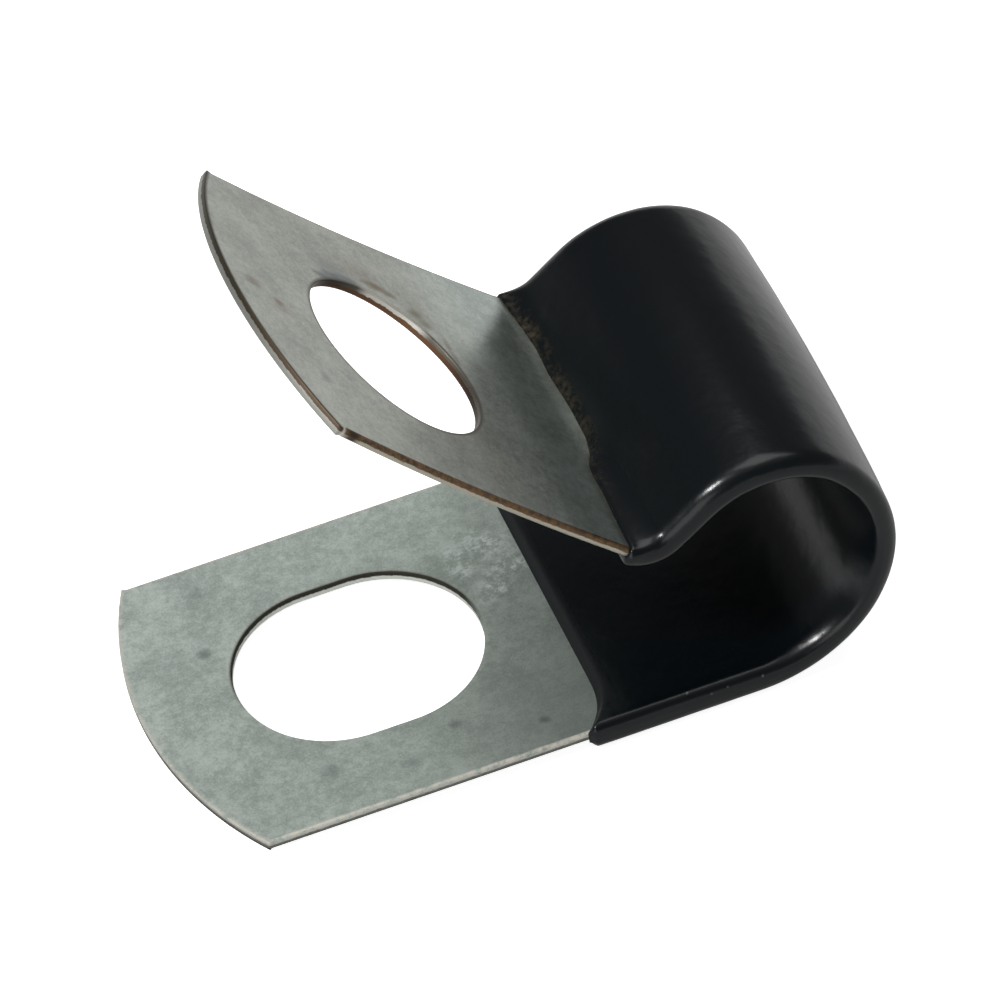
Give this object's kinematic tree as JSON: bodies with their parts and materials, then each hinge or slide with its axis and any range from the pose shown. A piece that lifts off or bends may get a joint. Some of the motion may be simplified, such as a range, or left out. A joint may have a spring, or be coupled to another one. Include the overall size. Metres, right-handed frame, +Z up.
{
  "type": "wire clamp",
  "caption": "Open loop clamp for a cable or hose: one bent steel strip with two punched ears, vinyl dipped round its loop.",
  "frame": {"origin": "axis of the loop at mid width of the strip", "axes": "+X from the ear tips to the loop, +Y along the loop's axis to the back, +Z up from the lower ear to the upper ear"},
  "size_m": [0.0357, 0.0196, 0.0283],
  "materials": {
    "steel_strap": "satin",
    "vinyl_coat": "satin"
  },
  "bodies": {
    "root": {"steel_strap": "steel_strap", "vinyl_coat": "vinyl_coat"}
  },
  "joints": []
}
